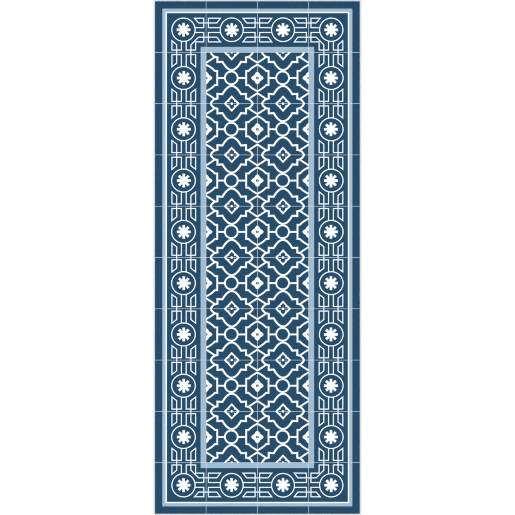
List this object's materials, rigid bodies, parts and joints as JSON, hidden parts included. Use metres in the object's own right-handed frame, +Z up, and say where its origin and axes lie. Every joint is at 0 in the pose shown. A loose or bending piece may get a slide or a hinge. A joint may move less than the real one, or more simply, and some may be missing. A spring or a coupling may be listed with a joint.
{
  "type": "runner rug",
  "caption": "Long flat runner rug with a printed cement-tile pattern, a foam cushion, an anti-slip backing and overlocked edges.",
  "frame": {"origin": "middle of the underside, on the floor", "axes": "+Y along the rug's length, +X across its width, +Z up out of the printed face"},
  "size_m": [0.809, 2.009, 0.0052],
  "materials": {
    "printed_face": "matte short fabric, printed in navy, white and pale blue",
    "foam": "matte grey foam",
    "latex": "matte latex",
    "label": "blank woven satin",
    "edge_thread": "pale blue-white texturised polyester thread"
  },
  "bodies": {
    "root": {"printed_face": "printed_face", "foam_cushion": "foam", "latex_backing": "latex", "care_label": "label", "right_side_upper_looper": "edge_thread", "right_side_lower_looper": "edge_thread", "right_side_needle_thread": "edge_thread", "left_side_upper_looper": "edge_thread", "left_side_lower_looper": "edge_thread", "left_side_needle_thread": "edge_thread", "far_end_upper_looper": "edge_thread", "far_end_lower_looper": "edge_thread", "far_end_needle_thread": "edge_thread", "near_end_upper_looper": "edge_thread", "near_end_lower_looper": "edge_thread", "near_end_needle_thread": "edge_thread"}
  },
  "joints": []
}
